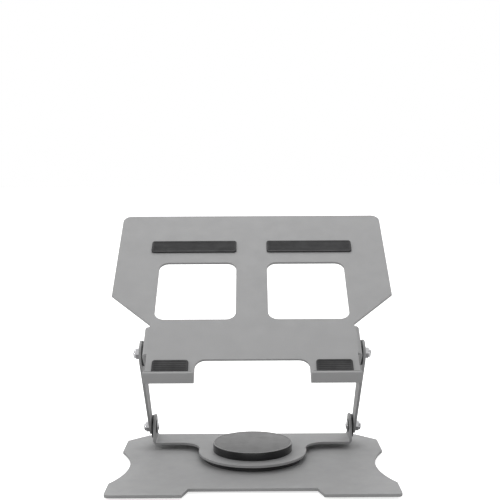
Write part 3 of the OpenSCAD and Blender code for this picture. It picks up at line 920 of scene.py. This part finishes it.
def pin_outline(length, head_up):
    """A pin with a domed head; the pin runs from z = 0 to length and the head is past its end."""
    turns = [step * math.pi / 16 for step in range(8)]
    dome = [(length + PIN_HEAD_H * math.sin(turn), PIN_HEAD_R * math.cos(turn) ** 0.5) for turn in turns]
    line = [(0, 0), (0, PIN_R - 0.2), (0.2, PIN_R), (length, PIN_R)] + dome + [(length + PIN_HEAD_H, 0)]
    return line if head_up else [(length - z, r) for z, r in line]


for name, node, body, head_up in (("bearing_rivets", "race_rivets", "base", False),
                                  ("bearing_screws", "race_screws", "turntable", True)):
    low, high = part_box(node)
    pin_circle = ((high.x - low.x) / 2 / MM - PIN_HEAD_R) * math.sqrt(2)
    length = (high.z - low.z) / MM - PIN_HEAD_H
    height = low.z if head_up else low.z + PIN_HEAD_H * MM
    mesh = grow(name, spun(name + "_one", pin_outline(length, head_up), segments=32), ROUND_THE_AXIS, {
        "Count": PIN_COUNT, "Radius": pin_circle * MM, "First Angle": math.pi / 4, "Height": height,
        "Material": zinc,
    })
    add_piece(name, mesh, zinc, body, "zinc", node)
    print(name, "on a circle of", round(2 * pin_circle, 1), "mm")

# %% [markdown]
# ## Rubber pads
# The laptop rests on four pads and leans on a strip behind each lip. They are moulded silicone with
# a plain rim and fine grooves inside it. A row of cross-sections is lofted along the pad: each has
# the same number of points, its half width follows the rounded corners, and its floor follows the
# grooves. That gives one closed skin, where ribs laid on a slab would cut through it.

# %% Loft a pad
def pad_mesh(name, width, length, thickness, corner, rim, groove_gap, groove_depth, edge=0.35):
    """A pad in its own frame: X across, Y along, Z up, its middle at the origin. Sizes in mm."""
    inner = length / 2 - rim
    count = max(2, round(2 * inner / groove_gap))
    stations = set()
    for step in range(9):
        turn = step / 8 * math.pi / 2
        stations.add(length / 2 - edge + edge * math.sin(turn))
        stations.add(length / 2 - corner + (corner - edge) * math.sin(turn))
    stations |= {-v for v in stations}
    stations |= {-inner + 2 * inner * k / (count * 6) for k in range(count * 6 + 1)}
    mesh = bmesh.new()
    rows = []
    for v in sorted(stations):
        past = max(0.0, abs(v) - (length / 2 - corner))
        half = width / 2 - corner + math.sqrt(max(corner ** 2 - past ** 2, 0.0))
        lip = max(0.0, abs(v) - (length / 2 - edge))
        drop = edge - math.sqrt(max(edge ** 2 - lip ** 2, 0.0))
        inside = max(0.0, min(1.0, (inner - abs(v)) / 0.3))
        phase = (v + inner) / (2 * inner) * count * 2 * math.pi + math.pi
        cut = groove_depth * inside * (0.5 + 0.5 * math.cos(phase)) ** 0.6
        top = thickness / 2 - drop
        half = max(half - drop, 0.2)
        bend = min(edge, half / 4)
        side = [(half, -thickness / 2), (half, top - bend), (half - bend * 0.3, top - bend * 0.3),
                (half - bend, top), (half - rim, top), (half - rim - 0.3, top - cut)]
        row = [(-x, z) for x, z in side] + [(x, z) for x, z in reversed(side)]
        rows.append([mesh.verts.new((x * MM, v * MM, z * MM)) for x, z in row])
    for first, second in zip(rows, rows[1:]):
        for k in range(len(first)):
            mesh.faces.new([first[k], first[(k + 1) % len(first)],
                            second[(k + 1) % len(first)], second[k]])
    mesh.faces.new(rows[0])
    mesh.faces.new(rows[-1])
    return settled(name, mesh, sharp=50)


rests = [m for m in frame["record"]["mounts"] if m["name"].startswith("laptop_rest")]
normal = Vector(rests[0]["axis"]).normalized()
slope = math.atan2(-normal.y, normal.z)
uphill = Vector((0, math.cos(slope), math.sin(slope)))
print("tray slope", round(math.degrees(slope), 1), "degrees")


def tilted_sizes(low, high):
    """Sizes along the slope and across it of a box that lies on the tray, from its upright bounds."""
    dy, dz = (high.y - low.y) / MM, (high.z - low.z) / MM
    c, s = math.cos(slope), math.sin(slope)
    return (dy * c - dz * s) / (c * c - s * s), (dz * c - dy * s) / (c * c - s * s)


def lay_pad(node, name, groove_gap, upright=False):
    """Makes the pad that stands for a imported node; an upright one stands on the slope, on a lip."""
    low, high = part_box(node)
    width = (high.x - low.x) / MM
    along, through = tilted_sizes(low, high)
    if upright:
        mesh = pad_mesh(name, width, through, along, 1.2, 1.2, groove_gap, 0.3, edge=0.3)
        frame_of_pad = Matrix((Vector((-1, 0, 0)), normal, uphill)).transposed().to_4x4()
    else:
        mesh = pad_mesh(name, width, along, through, 3.0, 1.8, groove_gap, 0.45)
        frame_of_pad = Matrix((Vector((1, 0, 0)), uphill, normal)).transposed().to_4x4()
    mesh.transform(Matrix.Translation((low + high) / 2) @ frame_of_pad)
    add_piece(name, mesh, rubber, "tray", "rubber", node)
    return width, along, through


for side in ("left", "right"):
    sizes = [lay_pad(f"{end}_pad_{side}", f"silicone_{end}_pad_{side}", 2.2) for end in ("front", "rear")]
    sizes.append(lay_pad(f"lip_cushion_{side}", f"silicone_lip_strip_{side}", 1.3, upright=True))
    print(side, "pads", [[round(v, 1) for v in size] for size in sizes])

# %% [markdown]
# ## Floor
# The stand is on a plain pale surface that runs out to the horizon. It gives the camera a little extra
# white, so it merges with the backdrop and keeps only a faint shadow, and it lights the undersides.

# %% Lay the floor
FLOOR_GLOW = 0.75

floor_mesh = bmesh.new()
bmesh.ops.create_grid(floor_mesh, x_segments=1, y_segments=1, size=30)
floor_data = bpy.data.meshes.new("floor")
floor_mesh.to_mesh(floor_data)
floor_mesh.free()
floor = bpy.data.objects.new("floor", floor_data)
scene.collection.objects.link(floor)
floor_finish = bpy.data.materials.new("floor")
floor_finish.use_nodes = True
floor_tree = floor_finish.node_tree
surface = floor_tree.nodes["Principled BSDF"]
surface.inputs["Base Color"].default_value = (0.72, 0.72, 0.72, 1)
surface.inputs["Roughness"].default_value = 0.9
surface.inputs["Specular IOR Level"].default_value = 0.1
surface.inputs["Emission Color"].default_value = (1, 1, 1, 1)
looked_at = floor_tree.nodes.new("ShaderNodeLightPath").outputs["Is Camera Ray"]
extra_white = maths(floor_tree, "MULTIPLY", looked_at, FLOOR_GLOW)
floor_tree.links.new(extra_white, surface.inputs["Emission Strength"])
floor_data.materials.append(floor_finish)
floor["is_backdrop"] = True
print("floor laid")

# %% Find the bounds of the stand
low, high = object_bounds()
